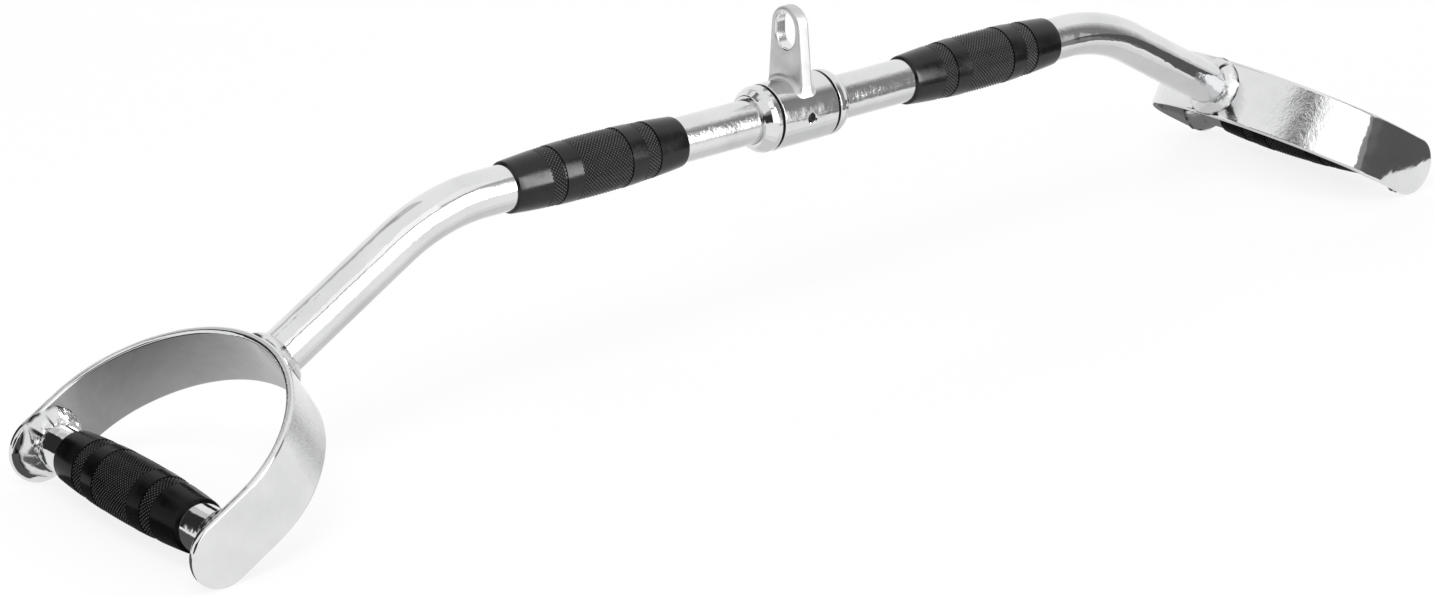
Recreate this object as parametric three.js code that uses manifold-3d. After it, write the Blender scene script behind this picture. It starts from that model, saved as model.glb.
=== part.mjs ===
// Lat pulldown bar: a bent chromed bar with two rubber grips, a D handle welded to each end and a turning hanger.
// Millimetres. +X runs along the bar, +Y to the back, +Z up. The bar stands on the four round ends of its handles.

import * as THREE from "three";
import { mergeVertices } from "three/addons/utils/BufferGeometryUtils.js";
import Module from "manifold-3d";

const wasm = await Module();
wasm.setup();

// Sizes of the main bar and of the crossbars, which are the same tube
const tubeDiameter = 28;
const tubeWall = 2.5;
const bendCornerDistance = 267.5;
const bendRadius = 125;
const armLength = 130;
const armAngle = THREE.MathUtils.degToRad(29.5);

// Sizes of the stirrups: strips bent to a U, with round leg ends
const stripWidth = 40.5;
const stripThickness = 5;
const apexRadius = 100;
const shoulderRadius = 74;
const shoulderAngle = THREE.MathUtils.degToRad(60);
const legLength = 113;
const crossbarDepth = 107;

// Sizes of the rubber grips
const gripLength = 127;
const gripMiddleDiameter = 37.2;
const gripEndDiameter = 31.2;
const gripLipRadius = 0.8;
const gripCentreDistance = 155.5;
const knurlDepth = 0.45;

// Sizes of the hanger
const sleeveDiameter = 42;
const sleeveLength = 43;
const sleeveChamfer = 0.6;
const bushWall = 2.6;
const bushLength = 17.5;
const greaseHoleDiameter = 6;
const greaseHoleChamfer = 0.8;
const tabHeight = 66.8;
const tabThickness = 8.8;
const tabBaseWidth = 35;
const tabTopRadius = 12.8;
const tabEdgeRadius = 2;
const eyeHeight = 51.8;
const eyeWidth = 17;
const eyeTall = 22.4;
const tabWeldLeg = 3;

// Sizes of the collars and washers beside the hanger
const collarDiameter = 41.6;
const collarShoulderDiameter = 39.2;
const collarNoseDiameter = 32.6;
const collarRimLength = 3.6;
const collarShoulderLength = 3;
const collarConeLength = 4;
const washerDiameter = 39;
const washerThickness = 1.4;

// Sizes of the welds
const armWeldDiameter = 38.8;
const armWeldHeight = 7;
const crossbarWeldDiameter = 37;
const crossbarWeldHeight = 7.5;

// Clearances and overruns
const seatGap = 0.3;
const turnGap = 0.3;
const cutOverrun = 3;

// Fineness of the round shapes
const roundSegments = 28;
const bendSteps = 8;
const arcSteps = 7;
const beadSteps = 4;
const weldLayers = 3;

// Sizes that follow from the ones above
const tubeRadius = tubeDiameter / 2;
const shoulderOffset = (apexRadius - shoulderRadius) * Math.sin(shoulderAngle);
const shoulderDepth = apexRadius - (apexRadius - shoulderRadius) * Math.cos(shoulderAngle);
const legInnerOffset = shoulderOffset + shoulderRadius - stripThickness;
const apexDistance = bendCornerDistance + armLength * Math.cos(armAngle);
const apexDrop = armLength * Math.sin(armAngle);
const standHeight = apexDrop + legLength * Math.sin(armAngle) + stripWidth / 2;
const sleeveRadius = sleeveDiameter / 2;
const bushOuterRadius = tubeRadius + turnGap + bushWall;
const washerStart = sleeveLength / 2 + turnGap;
const collarStart = washerStart + washerThickness + seatGap;

const chrome = () => new THREE.MeshStandardMaterial({ color: 0xdfe1e3, roughness: 0.12, metalness: 1 });
const satinSteel = () => new THREE.MeshStandardMaterial({ color: 0xc6c8ca, roughness: 0.34, metalness: 1 });
const weldMetal = () => new THREE.MeshStandardMaterial({ color: 0xcacccd, roughness: 0.26, metalness: 1 });
const rubber = () => new THREE.MeshStandardMaterial({ color: 0x161617, roughness: 0.55, metalness: 0 });
const nylon = () => new THREE.MeshStandardMaterial({ color: 0x101011, roughness: 0.6, metalness: 0 });
const bronze = () => new THREE.MeshStandardMaterial({ color: 0x9a7440, roughness: 0.4, metalness: 1 });

function named(name, geometry, material) {
  const mesh = new THREE.Mesh(geometry, material);
  mesh.name = name;
  return mesh;
}

// A closed geometry as a solid that can be cut, with its shared corners merged.
function solidOf(geometry) {
  const bare = geometry.clone();
  bare.deleteAttribute("normal");
  bare.deleteAttribute("uv");
  const merged = mergeVertices(bare);
  const vertProperties = new Float32Array(merged.attributes.position.array);
  const triVerts = new Uint32Array(merged.index.array);
  return new wasm.Manifold(new wasm.Mesh({ numProp: 3, vertProperties, triVerts }));
}

function geometryOf(solid) {
  const { vertProperties, triVerts } = solid.getMesh();
  const geometry = new THREE.BufferGeometry();
  geometry.setAttribute("position", new THREE.BufferAttribute(vertProperties, 3));
  geometry.setIndex(new THREE.BufferAttribute(triVerts, 1));
  geometry.computeVertexNormals();
  return geometry;
}

// Turns an outline of [along, radius] points about the X axis. The outside of the outline runs towards +X.
function turned(outline) {
  const points = outline.map(([along, radius]) => new THREE.Vector2(radius, along));
  return new THREE.LatheGeometry(points, roundSegments).rotateZ(-Math.PI / 2);
}

// A round piece with a bore: the outside is given from one end to the other, and the bore closes it.
function ring(outside, boreRadius) {
  const first = [outside[0][0], boreRadius];
  const last = [outside.at(-1)[0], boreRadius];
  return turned([first, ...outside, last, first]);
}

// A round piece without a bore.
function rod(outside) {
  const first = [outside[0][0], 0];
  const last = [outside.at(-1)[0], 0];
  return turned([first, ...outside, last]);
}

// The bar's centreline: one step for each straight stretch and bendSteps for each bend.
class BarCentreline extends THREE.Curve {
  bendStart = bendCornerDistance - bendRadius * Math.tan(armAngle / 2);
  armStraight = armLength - seatGap - bendRadius * Math.tan(armAngle / 2);
  steps = 2 * bendSteps + 3;

  getUtoTmapping(u) {
    return u;
  }

  // A point of the right half, by its step: 0 is the start of the bend, and the last step is the straight arm.
  rightHalf(step) {
    const turn = (armAngle * Math.min(step, bendSteps)) / bendSteps;
    const arm = this.armStraight * Math.max(step - bendSteps, 0);
    const x = this.bendStart + bendRadius * Math.sin(turn) + arm * Math.cos(armAngle);
    const z = -bendRadius * (1 - Math.cos(turn)) - arm * Math.sin(armAngle);
    return new THREE.Vector3(x, 0, z);
  }

  getPoint(t, target = new THREE.Vector3()) {
    const fromMiddle = t * this.steps - this.steps / 2;
    if (Math.abs(fromMiddle) <= 1 / 2) return target.set(2 * fromMiddle * this.bendStart, 0, 0);
    target.copy(this.rightHalf(Math.abs(fromMiddle) - 1 / 2));
    target.x *= Math.sign(fromMiddle);
    return target;
  }
}

function mainBar() {
  const section = new THREE.Shape().absarc(0, 0, tubeRadius, 0, 2 * Math.PI);
  section.holes.push(new THREE.Path().absarc(0, 0, tubeRadius - tubeWall, 0, 2 * Math.PI));
  const centreline = new BarCentreline();
  const geometry = new THREE.ExtrudeGeometry(section, {
    extrudePath: centreline,
    steps: centreline.steps,
    curveSegments: roundSegments / 2,
  });
  return named("main_bar", geometry, chrome());
}

// A rubber barrel with a knurled middle and two knurled rings, which lie a little below its smooth bands.
function grip(name) {
  const halfLength = gripLength / 2;
  const knurlEdgeShares = [0.29, 0.47, 0.635];
  const smoothShares = [0.82, 0.96];
  const barrel = (share) => {
    const swell = gripMiddleDiameter - gripEndDiameter;
    return (gripEndDiameter + swell * (1 - share ** 2)) / 2;
  };
  const half = [[0, barrel(0) - knurlDepth]];
  knurlEdgeShares.forEach((share, edge) => {
    const along = share * halfLength;
    const insideKnurled = edge % 2 === 0;
    const low = barrel(share) - knurlDepth;
    half.push([along - knurlDepth / 2, insideKnurled ? low : barrel(share)]);
    half.push([along + knurlDepth / 2, insideKnurled ? barrel(share) : low]);
  });
  smoothShares.forEach((share) => half.push([share * halfLength, barrel(share)]));
  half.push([halfLength, barrel(1) - gripLipRadius]);
  const mirrored = half.slice(1).reverse();
  const outside = [...mirrored.map(([along, radius]) => [-along, radius]), ...half];
  return named(name, ring(outside, tubeRadius + seatGap), rubber());
}

// One arch of a stirrup, from its front leg over the apex to its back leg, or the other way round.
function addArch(shape, inset, backwards) {
  const bow = Math.PI - shoulderAngle;
  const quarter = Math.PI / 2;
  const arcs = [
    [shoulderDepth, -shoulderOffset, shoulderRadius, -quarter, -bow],
    [apexRadius, 0, apexRadius, -bow, bow - 2 * Math.PI],
    [shoulderDepth, shoulderOffset, shoulderRadius, bow, quarter],
  ];
  if (backwards) arcs.reverse();
  for (const [x, y, radius, start, end] of arcs) {
    const [from, to] = backwards ? [end, start] : [start, end];
    shape.absarc(x, y, radius - inset, from, to, !backwards);
  }
}

// The bent strip between two insets from its outer face, wider than the strip and with square leg ends.
function bentStrip(outerInset, innerInset) {
  const legEnd = legLength + stripWidth;
  const legOuterOffset = legInnerOffset + stripThickness;
  const shape = new THREE.Shape();
  addArch(shape, outerInset, false);
  shape.lineTo(legEnd, legOuterOffset - outerInset);
  shape.lineTo(legEnd, legOuterOffset - innerInset);
  addArch(shape, innerInset, true);
  shape.lineTo(legEnd, innerInset - legOuterOffset);
  shape.lineTo(legEnd, outerInset - legOuterOffset);
  const depth = stripWidth + 2 * cutOverrun;
  const geometry = new THREE.ExtrudeGeometry(shape, { depth, curveSegments: arcSteps, bevelEnabled: false });
  return solidOf(geometry.translate(0, 0, -depth / 2));
}

function stirrup(name) {
  const sideView = new THREE.Shape().absarc(legLength, 0, stripWidth / 2, -Math.PI / 2, Math.PI / 2);
  sideView.lineTo(-cutOverrun, stripWidth / 2);
  sideView.lineTo(-cutOverrun, -stripWidth / 2);
  const depth = 2 * (legInnerOffset + stripThickness + cutOverrun);
  const block = new THREE.ExtrudeGeometry(sideView, { depth, curveSegments: arcSteps, bevelEnabled: false });
  block.translate(0, 0, -depth / 2).rotateX(Math.PI / 2);
  const strip = bentStrip(0, stripThickness).intersect(solidOf(block));
  return named(name, geometryOf(strip), chrome());
}

// A weld bead round the tube: its foot is at 0 and it rises towards -X, with a stretch below the foot for the cut.
function bead(diameter, height) {
  const boreRadius = tubeRadius + seatGap;
  const outside = [];
  for (let step = 0; step <= beadSteps; step++) {
    const turn = (step / beadSteps) * (Math.PI / 2);
    const rise = height * Math.cos(turn);
    outside.push([-rise, boreRadius + (diameter / 2 - boreRadius) * Math.sin(turn)]);
  }
  outside.push([cutOverrun, diameter / 2]);
  const first = outside.shift();
  return turned([first, ...outside, [outside.at(-1)[0], boreRadius], first]);
}

function armWeld(name) {
  const whole = solidOf(bead(armWeldDiameter, armWeldHeight));
  const seated = whole.subtract(bentStrip(-seatGap, stripThickness + seatGap));
  return named(name, geometryOf(seated), weldMetal());
}

// A piece along the handle's Y axis, moved to the crossbar's depth and cut to fit between the legs.
function betweenLegs(name, geometry, material) {
  const cut = bentStrip(-cutOverrun, stripThickness + seatGap);
  const seated = solidOf(geometry.translate(crossbarDepth, 0, 0)).subtract(cut);
  return named(name, geometryOf(seated), material);
}

// The crossbar, its grip and its two welds, along the Y axis of the handle.
function crossbar(side) {
  const group = new THREE.Group();
  const reach = legInnerOffset + stripThickness / 2;
  const tube = ring([[-reach, tubeRadius], [reach, tubeRadius]], tubeRadius - tubeWall);
  const barrel = grip(`crossbar_grip_${side}`);
  barrel.rotation.z = Math.PI / 2;
  barrel.position.x = crossbarDepth;
  group.add(betweenLegs(`crossbar_${side}`, tube.rotateZ(Math.PI / 2), chrome()), barrel);
  for (const [end, sign] of [["front", -1], ["back", 1]]) {
    const weld = bead(crossbarWeldDiameter, crossbarWeldHeight).rotateZ((sign * Math.PI) / 2);
    weld.translate(0, sign * (legInnerOffset - seatGap), 0);
    group.add(betweenLegs(`crossbar_weld_${side}_${end}`, weld, weldMetal()));
  }
  return group;
}

// A D handle: its X axis runs down the arm from the apex, and its Y axis is the bar's.
function handle(side, sign) {
  const group = new THREE.Group();
  group.position.set(sign * apexDistance, 0, -apexDrop);
  group.rotation.y = sign > 0 ? armAngle : Math.PI - armAngle;
  group.add(stirrup(`stirrup_${side}`), armWeld(`arm_weld_${side}`), crossbar(side));
  return group;
}

function barGrip(side, sign) {
  const mesh = grip(`bar_grip_${side}`);
  mesh.position.x = sign * gripCentreDistance;
  return mesh;
}

// The collar and the washer at one side of the hanger.
function collarAndWasher(side, sign) {
  const group = new THREE.Group();
  group.rotation.z = sign > 0 ? 0 : Math.PI;
  const shoulderStart = collarStart + collarRimLength;
  const coneStart = shoulderStart + collarShoulderLength;
  const collar = ring(
    [
      [collarStart, collarDiameter / 2],
      [shoulderStart, collarDiameter / 2],
      [coneStart, collarShoulderDiameter / 2],
      [coneStart + collarConeLength, collarNoseDiameter / 2],
    ],
    tubeRadius + seatGap,
  );
  const washerEnd = washerStart + washerThickness;
  const washer = ring([[washerStart, washerDiameter / 2], [washerEnd, washerDiameter / 2]], tubeRadius + turnGap);
  group.add(named(`collar_${side}`, collar, chrome()), named(`washer_${side}`, washer, nylon()));
  return group;
}

function sleeve() {
  const end = sleeveLength / 2;
  const outside = [
    [-end, sleeveRadius - sleeveChamfer],
    [sleeveChamfer - end, sleeveRadius],
    [end - sleeveChamfer, sleeveRadius],
    [end, sleeveRadius - sleeveChamfer],
  ];
  const boreRadius = bushOuterRadius + seatGap;
  const holeRadius = greaseHoleDiameter / 2;
  const drill = rod([
    [boreRadius - cutOverrun, holeRadius],
    [sleeveRadius - greaseHoleChamfer, holeRadius],
    [sleeveRadius + cutOverrun, holeRadius + greaseHoleChamfer + cutOverrun],
  ]).rotateZ(-Math.PI / 2);
  return named("hanger_sleeve", geometryOf(solidOf(ring(outside, boreRadius)).subtract(solidOf(drill))), chrome());
}

function bush(side, sign) {
  const inner = sleeveLength / 2 - bushLength;
  const outside = [[inner, bushOuterRadius], [sleeveLength / 2, bushOuterRadius]];
  const mesh = named(`bush_${side}`, ring(outside, tubeRadius + turnGap), bronze());
  mesh.rotation.z = sign > 0 ? 0 : Math.PI;
  return mesh;
}

// A plate in the YZ plane, of a shape drawn in Y and Z, centred on X = 0.
function plate(shape, thickness, edge) {
  const geometry = new THREE.ExtrudeGeometry(shape, {
    depth: thickness - 2 * edge,
    curveSegments: arcSteps,
    bevelEnabled: edge > 0,
    bevelThickness: edge,
    bevelSize: edge,
    bevelOffset: -edge,
    bevelSegments: 2,
  });
  geometry.translate(0, 0, edge - thickness / 2);
  return solidOf(geometry.rotateX(Math.PI / 2).rotateZ(Math.PI / 2));
}

// The tab's outline: two straight sides from the bar's axis, tangent to the round top.
function tabOutline(grow) {
  const baseHalf = tabBaseWidth / 2;
  const topCentre = tabHeight - tabTopRadius;
  const lean = Math.atan2(topCentre, baseHalf) - Math.acos(tabTopRadius / Math.hypot(topCentre, baseHalf));
  const shape = new THREE.Shape();
  shape.moveTo(-baseHalf - grow, 0);
  shape.lineTo(baseHalf + grow, 0);
  shape.absarc(0, topCentre, tabTopRadius + grow, -lean, Math.PI + lean);
  return shape;
}

function cylinderAlongBar(radius) {
  return solidOf(rod([[-sleeveLength, radius], [sleeveLength, radius]]));
}

function tab() {
  const eyeRadius = eyeWidth / 2;
  const eyeRise = (eyeTall - eyeWidth) / 2;
  const eye = new THREE.Shape();
  eye.absarc(0, eyeHeight + eyeRise, eyeRadius, 0, Math.PI);
  eye.absarc(0, eyeHeight - eyeRise, eyeRadius, Math.PI, 2 * Math.PI);
  const solid = plate(tabOutline(0), tabThickness, tabEdgeRadius)
    .subtract(plate(eye, tabThickness + 2 * cutOverrun, 0))
    .subtract(cylinderAlongBar(sleeveRadius + seatGap));
  return named("hanger_tab", geometryOf(solid), satinSteel());
}

// The fillet round the foot of the tab, in layers that step in as they rise from the sleeve.
function tabWeld() {
  const spread = (layer) => tabWeldLeg * (1 - layer / weldLayers);
  let solid = null;
  for (let layer = 0; layer < weldLayers; layer++) {
    const rise = (tabWeldLeg * (layer + 1)) / weldLayers;
    const foot = plate(tabOutline(spread(layer)), tabThickness + 2 * spread(layer), 0);
    const step = foot.intersect(cylinderAlongBar(sleeveRadius + rise));
    solid = solid ? solid.add(step) : step;
  }
  const seated = solid
    .subtract(cylinderAlongBar(sleeveRadius + seatGap))
    .subtract(plate(tabOutline(seatGap), tabThickness + 2 * seatGap, 0));
  return named("hanger_tab_weld", geometryOf(seated), satinSteel());
}

const bar = new THREE.Group();
bar.position.z = standHeight;
bar.add(mainBar(), sleeve(), tab(), tabWeld());
for (const [side, sign] of [["left", -1], ["right", 1]]) {
  bar.add(barGrip(side, sign), collarAndWasher(side, sign), bush(side, sign), handle(side, sign));
}

export default bar;
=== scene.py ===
import math

import bmesh
import bpy
from mathutils import Matrix, Vector, noise


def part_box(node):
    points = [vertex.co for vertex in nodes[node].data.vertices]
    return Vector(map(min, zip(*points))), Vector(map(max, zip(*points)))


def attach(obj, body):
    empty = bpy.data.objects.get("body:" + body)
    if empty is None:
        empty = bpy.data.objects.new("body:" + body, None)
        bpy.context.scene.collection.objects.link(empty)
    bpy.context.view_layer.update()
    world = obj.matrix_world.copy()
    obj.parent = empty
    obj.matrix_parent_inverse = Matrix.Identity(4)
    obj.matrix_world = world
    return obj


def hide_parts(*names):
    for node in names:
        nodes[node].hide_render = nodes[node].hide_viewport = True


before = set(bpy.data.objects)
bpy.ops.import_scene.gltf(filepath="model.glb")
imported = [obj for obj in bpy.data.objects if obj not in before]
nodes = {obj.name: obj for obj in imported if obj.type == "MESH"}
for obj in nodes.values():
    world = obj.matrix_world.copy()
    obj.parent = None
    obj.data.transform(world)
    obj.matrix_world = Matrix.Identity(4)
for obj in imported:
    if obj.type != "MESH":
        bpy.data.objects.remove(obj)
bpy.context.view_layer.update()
print("frame loaded,", len(nodes), "nodes")

# Everything is in metres. X runs along the bar, Y to the back, Z up, and the leg ends stand on z = 0
bar = {
    "tubeRadius": 0.014,
    "tubeWall": 0.0025,
    "bendCorner": 0.2675,
    "bendRadius": 0.125,
    "armLength": 0.130,
    "armAngle": math.radians(29.5),
    "sides": 96,
    "bendSteps": 36,
    "seatGap": 0.0003,
}
sleeveLow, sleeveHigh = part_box("hanger_sleeve")
bar["height"] = (sleeveLow.z + sleeveHigh.z) / 2
barPlace = Matrix.Translation((0, 0, bar["height"]))
turnXToY = Matrix.Rotation(math.pi / 2, 4, "Z")
turnXToFront = Matrix.Rotation(-math.pi / 2, 4, "Z")
turnZToX = Matrix.Rotation(math.pi / 2, 4, "Y")
handSides = (("left", -1), ("right", 1))
mergeGap = 1e-7  # points this near are one point
matchGap = 1e-6  # how far apart equal places may lie


# The handle's own frame: X runs down the arm from the apex of the stirrup, Y is the bar's Y
def handlePlace(sign):
    apex = bar["bendCorner"] + bar["armLength"] * math.cos(bar["armAngle"])
    drop = bar["armLength"] * math.sin(bar["armAngle"])
    turn = bar["armAngle"] if sign > 0 else math.pi - bar["armAngle"]
    return barPlace @ Matrix.Translation((sign * apex, 0, -drop)) @ Matrix.Rotation(turn, 4, "Y")


# Materials, all on object coordinates in metres

def newMaterial(name):
    material = bpy.data.materials.new(name)
    material.use_nodes = True
    tree = material.node_tree
    return material, tree, tree.nodes["Principled BSDF"]


def addNode(tree, kind, **settings):
    node = tree.nodes.new(kind)
    for key, value in settings.items():
        setattr(node, key, value)
    return node


# Sets a socket to a plain value, or links it to another node's output
def feed(tree, socket, value):
    if isinstance(value, bpy.types.NodeSocket):
        tree.links.new(value, socket)
    else:
        socket.default_value = value


def objectPlace(tree):
    return addNode(tree, "ShaderNodeTexCoord").outputs["Object"]


def objectAlong(tree, axis):
    split = addNode(tree, "ShaderNodeSeparateXYZ")
    feed(tree, split.inputs[0], objectPlace(tree))
    return split.outputs[axis]


def addNoise(tree, scale, detail=3, grit=0.55):
    cloud = addNode(tree, "ShaderNodeTexNoise")
    feed(tree, cloud.inputs["Vector"], objectPlace(tree))
    feed(tree, cloud.inputs["Scale"], scale)
    feed(tree, cloud.inputs["Detail"], detail)
    feed(tree, cloud.inputs["Roughness"], grit)
    return cloud.outputs["Fac"]


# Goes from one value to another over a span of the source. A grey is given as one number
def addRamp(tree, source, span, first, last):
    ramp = addNode(tree, "ShaderNodeValToRGB")
    for element, position, value in zip(ramp.color_ramp.elements, span, (first, last)):
        element.position = position
        colour = value if isinstance(value, tuple) else (value, value, value)
        element.color = (*colour, 1)
    feed(tree, ramp.inputs["Fac"], source)
    return ramp.outputs["Color"]


# Carries a value from one range over to another, whose ends may be other nodes' outputs
def addRange(tree, value, start, end, first=0, last=1):
    mapped = addNode(tree, "ShaderNodeMapRange")
    feed(tree, mapped.inputs["Value"], value)
    feed(tree, mapped.inputs["From Min"], start)
    feed(tree, mapped.inputs["From Max"], end)
    feed(tree, mapped.inputs["To Min"], first)
    feed(tree, mapped.inputs["To Max"], last)
    return mapped.outputs["Result"]


def addMath(tree, operation, first, second=0):
    node = addNode(tree, "ShaderNodeMath", operation=operation)
    feed(tree, node.inputs[0], first)
    feed(tree, node.inputs[1], second)
    return node.outputs[0]


# Mixes a plain colour over another one. Several sockets of this node share a name, so they go by number
def addMix(tree, factor, below, plain):
    mix = addNode(tree, "ShaderNodeMix", data_type="RGBA")
    feed(tree, mix.inputs[0], factor)
    feed(tree, mix.inputs[6], below)
    feed(tree, mix.inputs[7], (*plain, 1))
    return mix.outputs[2]


def addBump(tree, height, distance, below=None):
    bump = addNode(tree, "ShaderNodeBump")
    feed(tree, bump.inputs["Strength"], 1)
    feed(tree, bump.inputs["Distance"], distance)
    feed(tree, bump.inputs["Height"], height)
    if below is not None:
        feed(tree, bump.inputs["Normal"], below)
    return bump.outputs["Normal"]


def addGrain(tree, scale, height, below=None, detail=3):
    return addBump(tree, addNoise(tree, scale, detail), height, below)


def dress(tree, shader, colour, polish, normal):
    feed(tree, shader.inputs["Base Color"], colour)
    feed(tree, shader.inputs["Roughness"], polish)
    feed(tree, shader.inputs["Normal"], normal)


chromeLook = {
    "bright": (0.76, 0.762, 0.767),
    "smudged": (0.68, 0.683, 0.69),
    "smudgeScale": 38,
    "smudgeDetail": 4,
    "smudgeSpan": (0.35, 0.75),
    "polished": 0.04,
    "hazy": 0.13,
    "hazeScale": 120,
    "hazeDetail": 5,
    "hazeGrit": 0.6,
    "hazeSpan": (0.35, 0.8),
    "waveScale": 50,
    "waveDetail": 2,
    "waveHeight": 0.0004,
    "peelScale": 340,
    "peelHeight": 0.00003,
    "pitScale": 442,
    "pitDetail": 4,
    "pitGrit": 0.65,
    "pitHeight": 0.00013,
}
sleeveLook = {**chromeLook, "pitHeight": 0.00004}
stripLook = {**chromeLook, "pitHeight": 0.0002}
weldLook = {
    **chromeLook,
    "polished": 0.19,
    "hazy": 0.36,
    "lumpScale": 420,
    "lumpHeight": 0.00003,
    "seam": (0.03, 0.03, 0.031),
}

# Where the plating is pitted, as it was laid over heated or brushed metal: fully up to near from the centre,
# along the axis, and not at all from far on
barZone = {"axis": "X", "centre": 0, "near": 0.2, "far": 0.24}
legZone = {"axis": "Y", "centre": -0.062, "near": 0.018, "far": 0.026}


# Bright plating. A look with a seam is a weld's, whose lumps end in a dark line at the toe
def makeChrome(name, look, zone=None):
    material, tree, shader = newMaterial(name)
    shader.inputs["Metallic"].default_value = 1
    smudge = addNoise(tree, look["smudgeScale"], look["smudgeDetail"])
    colour = addRamp(tree, smudge, look["smudgeSpan"], look["bright"], look["smudged"])
    haze = addNoise(tree, look["hazeScale"], look["hazeDetail"], look["hazeGrit"])
    polish = addRamp(tree, haze, look["hazeSpan"], look["polished"], look["hazy"])
    normal = addGrain(tree, look["waveScale"], look["waveHeight"], detail=look["waveDetail"])
    normal = addGrain(tree, look["peelScale"], look["peelHeight"], normal)
    if zone is not None:
        offset = addMath(tree, "SUBTRACT", objectAlong(tree, zone["axis"]), zone["centre"])
        inside = addRange(tree, addMath(tree, "ABSOLUTE", offset), zone["near"], zone["far"], 1, 0)
        pits = addNoise(tree, look["pitScale"], look["pitDetail"], look["pitGrit"])
        normal = addBump(tree, addMath(tree, "MULTIPLY", pits, inside), look["pitHeight"], normal)
    if "seam" in look:
        normal = addGrain(tree, look["lumpScale"], look["lumpHeight"], normal)
        toe = addNode(tree, "ShaderNodeAttribute", attribute_name="toe")
        colour = addMix(tree, toe.outputs["Fac"], colour, look["seam"])
    dress(tree, shader, colour, polish, normal)
    return material


satinLook = {
    "bright": (0.66, 0.66, 0.66),
    "dull": (0.53, 0.53, 0.535),
    "colourSpan": (0.3, 0.75),
    "cloudScale": 75,
    "cloudDetail": 4,
    "smooth": 0.38,
    "rough": 0.52,
    "polishSpan": (0.3, 0.7),
    "rubbed": (0.80, 0.80, 0.805),
    "rubbedRough": 0.12,
    "grainScale": 1500,
    "grainHeight": 0.00003,
}
bronzeLook = {
    **satinLook,
    "bright": (0.52, 0.36, 0.17),
    "dull": (0.34, 0.22, 0.10),
    "cloudScale": 150,
    "smooth": 0.3,
    "rough": 0.5,
    "grainScale": 1200,
    "grainHeight": 0.00002,
}

# The eye of the tab, rubbed bright by what hangs in it: its height over the bar's axis, the distances up to
# which it is fully rubbed and from which it isn't, and how much a distance up or down counts
rubbedEye = {"height": 0.0518, "near": 0.0088, "far": 0.0101, "squash": 0.76}


def makeSatin(name, look, eye=None):
    material, tree, shader = newMaterial(name)
    shader.inputs["Metallic"].default_value = 1
    cloud = addNoise(tree, look["cloudScale"], look["cloudDetail"])
    colour = addRamp(tree, cloud, look["colourSpan"], look["bright"], look["dull"])
    polish = addRamp(tree, cloud, look["polishSpan"], look["smooth"], look["rough"])
    if eye is not None:
        mapping = addNode(tree, "ShaderNodeMapping")
        feed(tree, mapping.inputs["Location"], (0, 0, -(bar["height"] + eye["height"]) * eye["squash"]))
        feed(tree, mapping.inputs["Scale"], (0, 1, eye["squash"]))
        feed(tree, mapping.inputs["Vector"], objectPlace(tree))
        away = addNode(tree, "ShaderNodeVectorMath", operation="LENGTH")
        feed(tree, away.inputs[0], mapping.outputs["Vector"])
        rubbed = addRange(tree, away.outputs["Value"], eye["far"], eye["near"])
        colour = addMix(tree, rubbed, colour, look["rubbed"])
        polish = addRange(tree, rubbed, 0, 1, polish, look["rubbedRough"])
    dress(tree, shader, colour, polish, addGrain(tree, look["grainScale"], look["grainHeight"]))
    return material


rubberLook = {
    "black": (0.003, 0.003, 0.0032),
    "scuffed": (0.009, 0.009, 0.0093),
    "scuffSpan": (0.4, 0.8),
    # Lighter grey on the knurl tips, partly for wear and partly a painted glint
    "wearAndGlint": (0.23, 0.23, 0.234),
    "wearAndGlintFrom": 0.55,
    "wearAndGlintRough": 0.5,
    "cloudScale": 70,
    "cloudDetail": 5,
    "cloudGrit": 0.65,
    "smooth": 0.14,
    "rough": 0.32,
    "polishSpan": (0.3, 0.7),
    "shine": 0.38,
    "grainScale": 1100,
    "grainHeight": 0.00002,
}
# The same rubber for the crossbar grips with less shine and darker knurl tips: painted shade, as they sit in
# darker surroundings than the bar grips
crossbarShadedRubberLook = {**rubberLook, "shine": 0.08, "wearAndGlint": (0.19, 0.19, 0.194)}
nylonLook = {**rubberLook, "smooth": 0.5, "rough": 0.65, "scuffed": (0.02, 0.02, 0.021)}
greaseLook = {**rubberLook, "black": (0.004, 0.004, 0.004), "scuffed": (0.012, 0.011, 0.01)}


# Black rubber, greyer and duller on the tips of its knurl: partly wear, partly a painted glint on the tips
def makeRubber(name, look):
    material, tree, shader = newMaterial(name)
    shader.inputs["Specular IOR Level"].default_value = look["shine"]
    cloud = addNoise(tree, look["cloudScale"], look["cloudDetail"], look["cloudGrit"])
    black = addRamp(tree, cloud, look["scuffSpan"], look["black"], look["scuffed"])
    polish = addRamp(tree, cloud, look["polishSpan"], look["smooth"], look["rough"])
    tips = addNode(tree, "ShaderNodeAttribute", attribute_name="tips")
    wearAndGlint = addRange(tree, tips.outputs["Fac"], look["wearAndGlintFrom"], 1)
    dress(tree, shader, addMix(tree, wearAndGlint, black, look["wearAndGlint"]),
          addRange(tree, wearAndGlint, 0, 1, polish, look["wearAndGlintRough"]),
          addGrain(tree, look["grainScale"], look["grainHeight"]))
    return material


chrome = makeChrome("chrome", chromeLook)
barChrome = makeChrome("barChrome", chromeLook, barZone)
sleeveChrome = makeChrome("sleeveChrome", sleeveLook, barZone)
stripChrome = makeChrome("stripChrome", stripLook, legZone)
weldChrome = makeChrome("weldChrome", weldLook)
satinSteel = makeSatin("satinSteel", satinLook, rubbedEye)
bronze = makeSatin("bronze", bronzeLook)
rubber = makeRubber("rubber", rubberLook)
crossbarShadedRubber = makeRubber("crossbarShadedRubber", crossbarShadedRubberLook)
nylon = makeRubber("nylon", nylonLook)
grease = makeRubber("grease", greaseLook)
print("materials made")


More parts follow.
